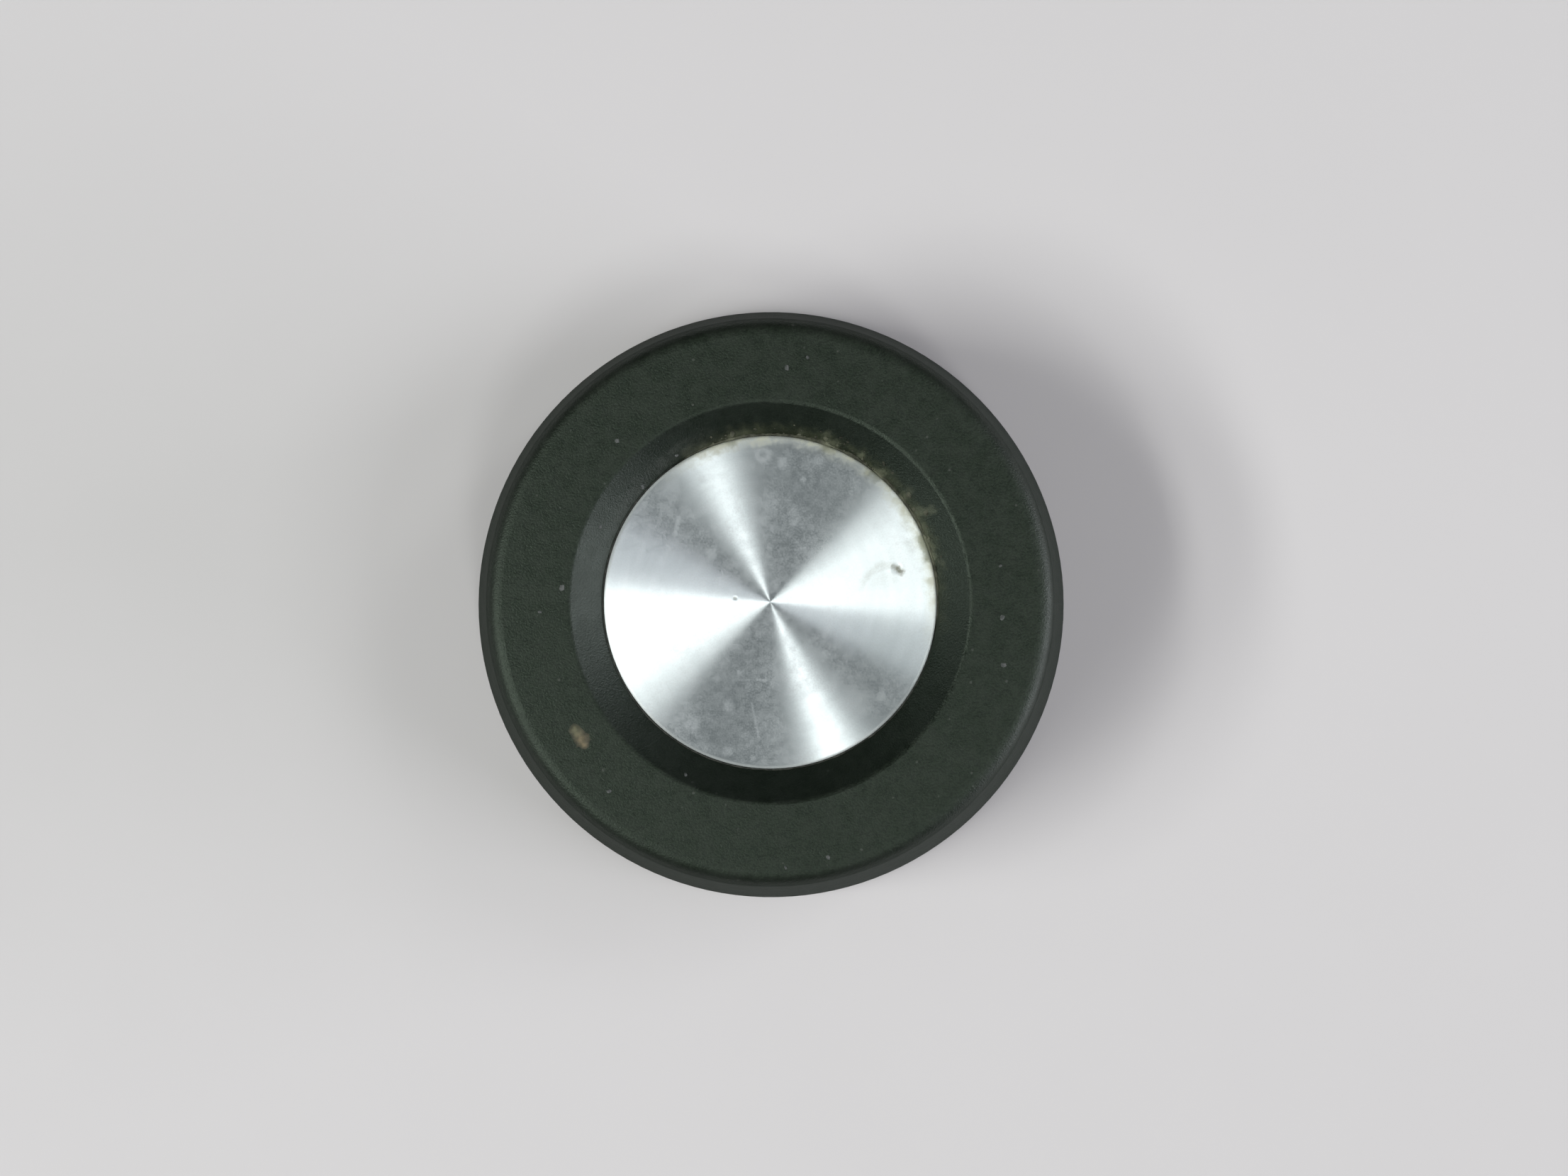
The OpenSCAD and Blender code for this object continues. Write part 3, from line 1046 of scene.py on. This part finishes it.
class KnobStage(bpy.types.PropertyGroup):
    """Floor, sky and camera."""

    floor_colour: colour_property("Floor colour", "Colour of the floor", (0.56, 0.56, 0.56))
    overhead: share_property("Overhead light", "Brightness of the sky overhead", 0.232)
    horizon: share_property("Low light", "Brightness of the sky near the floor", 0.02)
    camera_place: place_property("Camera place", "Where the camera stands", (0.0008, -0.0019, 0.190))
    camera_target: place_property("Camera target", "Point that it looks at", (0.00115, 0.00144, 0.0))
    camera_lens: FloatProperty(
        name="Lens", description="Focal length in millimetres", default=48.6, min=10.0, max=200.0
    )


class KNOB_OT_finish_body(bpy.types.Operator):
    """Give the knob's body its moulded plastic"""

    bl_idname = "timer_knob.finish_body"
    bl_label = "Finish Body"

    def execute(self, context):
        scene = context.scene
        dress("knob_body", plastic_material(scene.knob_plastic, scene.knob_grime))
        return {"FINISHED"}


class KNOB_OT_make_disc(bpy.types.Operator):
    """Make the spun disc that stands for the plain one"""

    bl_idname = "timer_knob.make_disc"
    bl_label = "Make Disc"

    def execute(self, context):
        scene = context.scene
        finish = scene.knob_disc
        shape = disc_shape(finish.ring_count, finish.segments)
        disc = new_piece("spun_disc", shape, disc_material(finish, scene.knob_grime))
        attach(disc, BODY)
        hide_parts("face_disc")
        return {"FINISHED"}


class KNOB_OT_finish_ring(bpy.types.Operator):
    """Give the spring ring its rolled steel"""

    bl_idname = "timer_knob.finish_ring"
    bl_label = "Finish Ring"

    def execute(self, context):
        dress("spring_ring", steel_material(context.scene.knob_ring))
        return {"FINISHED"}


class KNOB_OT_lay_grime(bpy.types.Operator):
    """Lay the beads of dirt and the crumbs beside the disc"""

    bl_idname = "timer_knob.lay_grime"
    bl_label = "Lay Grime"

    def execute(self, context):
        grime = context.scene.knob_grime
        draw = random.Random(grime.seed)
        shape = bmesh.new()
        start, end = math.degrees(grime.bead_start), math.degrees(grime.bead_end)
        dirt_bead(shape, start, end, GRIME_BEAD_SIZE)
        for x, y in CRUMB_PLACES:
            place, up = spot_place(x, y)
            across = draw.uniform(*LARGE_CRUMB) * MM
            add_crumb(shape, place, up, across, across * LARGE_CRUMB_HEIGHT, draw)
        for _ in range(grime.crumbs):
            heading = draw.triangular(start + CRUMB_CLEAR_START, end - CRUMB_CLEAR_END, CRUMB_HEADING)
            away = CRUMB_NEAREST + CRUMB_REACH * draw.random() ** CRUMB_CROWDING
            across = draw.uniform(*SMALL_CRUMB) * MM
            place, up = wall_place(SEAT_RADIUS + away * MM, heading)
            add_crumb(shape, place, up, across, across * draw.uniform(*SMALL_CRUMB_HEIGHT), draw)
        material = dirt_material("dry_grime", grime.dark_colour, grime.pale_colour, 0.16, grime.crust_colour)
        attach(new_piece("edge_grime", shape, material), BODY)
        gap = bmesh.new()
        dirt_bead(gap, end - BEAD_OVERLAP, start + (360.0 + BEAD_OVERLAP), GAP_BEAD_SIZE)
        material = dirt_material("gap_dirt", grime.gap_dark, grime.gap_pale, 0.12)
        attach(new_piece("gap_dirt", gap, material), BODY)
        return {"FINISHED"}


class KNOB_OT_scatter_dust(bpy.types.Operator):
    """Scatter pale specks of dust on the face and the dish's wall"""

    bl_idname = "timer_knob.scatter_dust"
    bl_label = "Scatter Dust"

    def execute(self, context):
        grime = context.scene.knob_grime
        draw = random.Random(grime.seed + 1)
        shape = bmesh.new()
        for x, y in DUST_PLACES:
            place, up = spot_place(x, y)
            add_crumb(shape, place, up, draw.uniform(*DUST_SPECK) * MM, DUST_HEIGHT * MM, draw)
        material = dirt_material("pale_dust", grime.dust_dark, grime.dust_pale, 0.12)
        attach(new_piece("dust_specks", shape, material), BODY)
        return {"FINISHED"}


class KNOB_OT_add_residue(bpy.types.Operator):
    """Put the dab of dried matter on the face"""

    bl_idname = "timer_knob.add_residue"
    bl_label = "Add Residue"

    def execute(self, context):
        shape = residue_shape()
        material = residue_material(context.scene.knob_grime)
        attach(new_piece("face_residue", shape, material), BODY)
        return {"FINISHED"}


class KNOB_OT_set_stage(bpy.types.Operator):
    """Set the floor, the lamps, the sky and the camera"""

    bl_idname = "timer_knob.set_stage"
    bl_label = "Set Stage"

    def execute(self, context):
        scene = context.scene
        stage = scene.knob_stage
        shape = bmesh.new()
        bmesh.ops.create_grid(shape, x_segments=4, y_segments=4, size=FLOOR_HALF_WIDTH)
        floor = new_piece("floor", shape, floor_material(stage.floor_colour))
        for name, settings in LAMPS.items():
            add_lamp(name, *settings)
        make_world(stage)
        add_camera(stage)
        scene.view_settings.view_transform = "Standard"
        return {"FINISHED"}


class KNOB_PT_pieces(bpy.types.Panel):
    """Lists the steps that make the knob"""

    bl_idname = "KNOB_PT_pieces"
    bl_label = "Timer Knob"
    bl_space_type = "VIEW_3D"
    bl_region_type = "UI"
    bl_category = "Timer Knob"

    def draw(self, context):
        for step in STEPS:
            self.layout.operator(step.bl_idname)


GROUPS = {
    "knob_plastic": KnobPlastic,
    "knob_disc": KnobDisc,
    "knob_ring": KnobRing,
    "knob_grime": KnobGrime,
    "knob_stage": KnobStage,
}
STEPS = (
    KNOB_OT_finish_body,
    KNOB_OT_make_disc,
    KNOB_OT_finish_ring,
    KNOB_OT_lay_grime,
    KNOB_OT_scatter_dust,
    KNOB_OT_add_residue,
    KNOB_OT_set_stage,
)


def register():
    for made in (*GROUPS.values(), *STEPS, KNOB_PT_pieces):
        bpy.utils.register_class(made)
    for name, group in GROUPS.items():
        setattr(bpy.types.Scene, name, PointerProperty(type=group))


def unregister():
    for name in GROUPS:
        delattr(bpy.types.Scene, name)
    for made in (KNOB_PT_pieces, *reversed(STEPS), *reversed(GROUPS.values())):
        bpy.utils.unregister_class(made)


def main():
    register()
    bpy.ops.timer_knob.finish_body()
    bpy.ops.timer_knob.make_disc()
    bpy.ops.timer_knob.finish_ring()
    bpy.ops.timer_knob.lay_grime()
    bpy.ops.timer_knob.scatter_dust()
    bpy.ops.timer_knob.add_residue()
    bpy.ops.timer_knob.set_stage()


if __name__ == "__main__":
    main()
